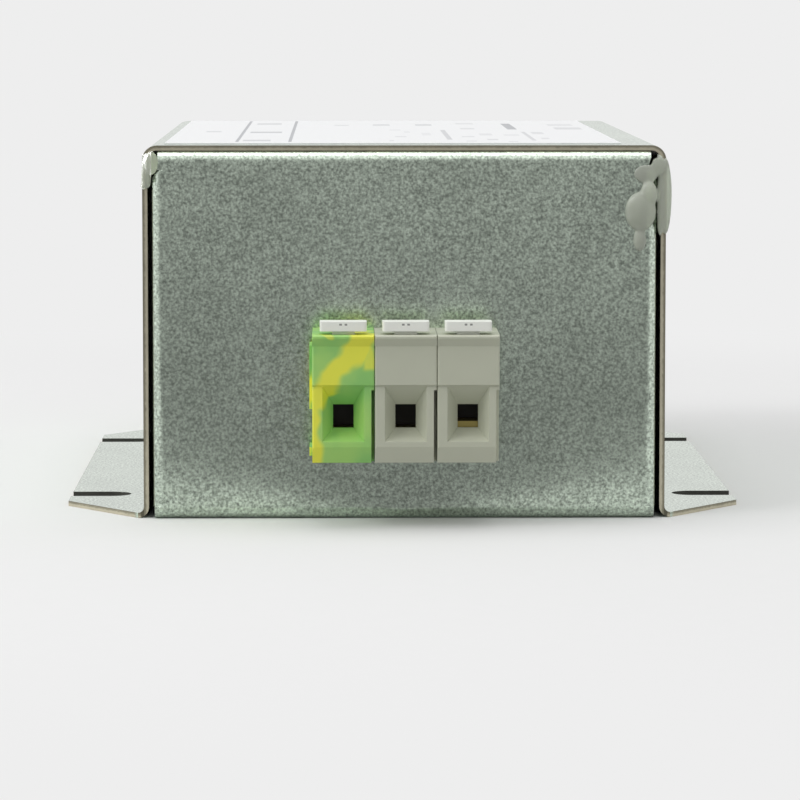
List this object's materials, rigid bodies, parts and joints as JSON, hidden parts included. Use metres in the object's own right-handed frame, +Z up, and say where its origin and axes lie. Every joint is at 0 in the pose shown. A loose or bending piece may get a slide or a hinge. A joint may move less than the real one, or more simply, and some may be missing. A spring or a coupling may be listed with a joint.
{
  "type": "emi line filter",
  "caption": "Single-phase mains interference filter in a folded steel case, with open-slotted mounting flanges and a feed-through clamp terminal block on each end.",
  "frame": {"origin": "on the mounting plane, midway between the ends and between the flanges", "axes": "+Z up, away from the mounting plane; Y along the case, with the line terminals at -Y and the load terminals at +Y; +X to the right when the line end is seen"},
  "size_m": [0.092, 0.146, 0.0501],
  "materials": {
    "galvanised_sheet": "zinc-coated, dull, fine-grained",
    "grey_polyamide": "moulded, satin",
    "green_yellow_polyamide": "moulded in two mixed colours, satin",
    "white_marker": "moulded, satin",
    "plated_brass": "nickel-plated",
    "zinc_screw": "zinc-plated",
    "tinned_copper": "tinned",
    "label_film": "satin film",
    "hot_melt": "translucent, soft gloss",
    "insulating_film": "calendered sheet",
    "board_laminate": "solder mask",
    "white_nylon": "satin",
    "coated_ferrite": "epoxy-coated",
    "black_polyester": "moulded",
    "enamelled_copper": "enamelled",
    "yellow_capacitor": "moulded box",
    "blue_capacitor": "moulded box",
    "resistor_body": "lacquered",
    "green_yellow_pvc": "extruded",
    "blue_pvc": "extruded",
    "brown_pvc": "extruded"
  },
  "bodies": {
    "case": {"line_pe_housing": "green_yellow_polyamide", "line_pe_marker": "white_marker", "line_pe_current_bar": "tinned_copper", "line_n_housing": "grey_polyamide", "line_n_marker": "white_marker", "line_n_current_bar": "tinned_copper", "line_l_housing": "grey_polyamide", "line_l_marker": "white_marker", "line_l_current_bar": "tinned_copper", "load_pe_housing": "green_yellow_polyamide", "load_pe_marker": "white_marker", "load_pe_current_bar": "tinned_copper", "load_n_housing": "grey_polyamide", "load_n_marker": "white_marker", "load_n_current_bar": "tinned_copper", "load_l_housing": "grey_polyamide", "load_l_marker": "white_marker", "load_l_current_bar": "tinned_copper", "base_tray": "galvanised_sheet", "cover": "galvanised_sheet", "rating_label": "label_film", "sealant_bead": "hot_melt", "line_inner_frame": "black_polyester", "load_inner_frame": "black_polyester", "insulating_liner": "insulating_film", "circuit_board": "board_laminate", "board_studs": "zinc_screw", "board_spacers": "white_nylon", "board_nuts": "zinc_screw", "choke_core": "coated_ferrite", "choke_carrier": "black_polyester", "choke_winding_l": "enamelled_copper", "choke_winding_n": "enamelled_copper", "line_x_capacitor": "yellow_capacitor", "load_x_capacitor": "yellow_capacitor", "y_capacitor_l": "blue_capacitor", "y_capacitor_n": "blue_capacitor", "bleed_resistor": "resistor_body", "line_pe_wire": "green_yellow_pvc", "load_pe_wire": "green_yellow_pvc", "line_n_wire": "blue_pvc", "load_n_wire": "blue_pvc", "line_l_wire": "brown_pvc", "load_l_wire": "brown_pvc", "pe_studs": "zinc_screw", "pe_nuts": "zinc_screw", "pe_lugs": "tinned_copper"},
    "line_pe_screw_body": {"line_pe_clamp_screw": "zinc_screw"},
    "line_pe_cage_body": {"line_pe_clamp_cage": "plated_brass"},
    "line_n_screw_body": {"line_n_clamp_screw": "zinc_screw"},
    "line_n_cage_body": {"line_n_clamp_cage": "plated_brass"},
    "line_l_screw_body": {"line_l_clamp_screw": "zinc_screw"},
    "line_l_cage_body": {"line_l_clamp_cage": "plated_brass"},
    "load_pe_screw_body": {"load_pe_clamp_screw": "zinc_screw"},
    "load_pe_cage_body": {"load_pe_clamp_cage": "plated_brass"},
    "load_n_screw_body": {"load_n_clamp_screw": "zinc_screw"},
    "load_n_cage_body": {"load_n_clamp_cage": "plated_brass"},
    "load_l_screw_body": {"load_l_clamp_screw": "zinc_screw"},
    "load_l_cage_body": {"load_l_clamp_cage": "plated_brass"}
  },
  "joints": [
    {"name": "line_pe_screw_turn", "type": "hinge", "parent": "case", "child": "line_pe_screw_body", "pos_m": [-0.0082, -0.066, 0.02], "axis": [0, 0, -1], "range_deg": [0, 2160]},
    {"name": "line_pe_cage_lift", "type": "slide", "parent": "case", "child": "line_pe_cage_body", "axis": [0, 0, 1], "range_m": [0, 0.003]},
    {"name": "line_n_screw_turn", "type": "hinge", "parent": "case", "child": "line_n_screw_body", "pos_m": [0, -0.066, 0.02], "axis": [0, 0, -1], "range_deg": [0, 2160]},
    {"name": "line_n_cage_lift", "type": "slide", "parent": "case", "child": "line_n_cage_body", "axis": [0, 0, 1], "range_m": [0, 0.003]},
    {"name": "line_l_screw_turn", "type": "hinge", "parent": "case", "child": "line_l_screw_body", "pos_m": [0.0082, -0.066, 0.02], "axis": [0, 0, -1], "range_deg": [-648, 1512]},
    {"name": "line_l_cage_lift", "type": "slide", "parent": "case", "child": "line_l_cage_body", "axis": [0, 0, 1], "range_m": [-0.0009, 0.0021]},
    {"name": "load_pe_screw_turn", "type": "hinge", "parent": "case", "child": "load_pe_screw_body", "pos_m": [-0.0082, 0.066, 0.02], "axis": [0, 0, -1], "range_deg": [0, 2160]},
    {"name": "load_pe_cage_lift", "type": "slide", "parent": "case", "child": "load_pe_cage_body", "axis": [0, 0, 1], "range_m": [0, 0.003]},
    {"name": "load_n_screw_turn", "type": "hinge", "parent": "case", "child": "load_n_screw_body", "pos_m": [0, 0.066, 0.02], "axis": [0, 0, -1], "range_deg": [0, 2160]},
    {"name": "load_n_cage_lift", "type": "slide", "parent": "case", "child": "load_n_cage_body", "axis": [0, 0, 1], "range_m": [0, 0.003]},
    {"name": "load_l_screw_turn", "type": "hinge", "parent": "case", "child": "load_l_screw_body", "pos_m": [0.0082, 0.066, 0.02], "axis": [0, 0, -1], "range_deg": [0, 2160]},
    {"name": "load_l_cage_lift", "type": "slide", "parent": "case", "child": "load_l_cage_body", "axis": [0, 0, 1], "range_m": [0, 0.003]}
  ],
  "couplings": [
    {"joint": "line_pe_screw_turn", "follows": "line_pe_cage_lift", "rad_per_m": 12566},
    {"joint": "line_n_screw_turn", "follows": "line_n_cage_lift", "rad_per_m": 12566},
    {"joint": "line_l_screw_turn", "follows": "line_l_cage_lift", "rad_per_m": 12566},
    {"joint": "load_pe_screw_turn", "follows": "load_pe_cage_lift", "rad_per_m": 12566},
    {"joint": "load_n_screw_turn", "follows": "load_n_cage_lift", "rad_per_m": 12566},
    {"joint": "load_l_screw_turn", "follows": "load_l_cage_lift", "rad_per_m": 12566}
  ]
}
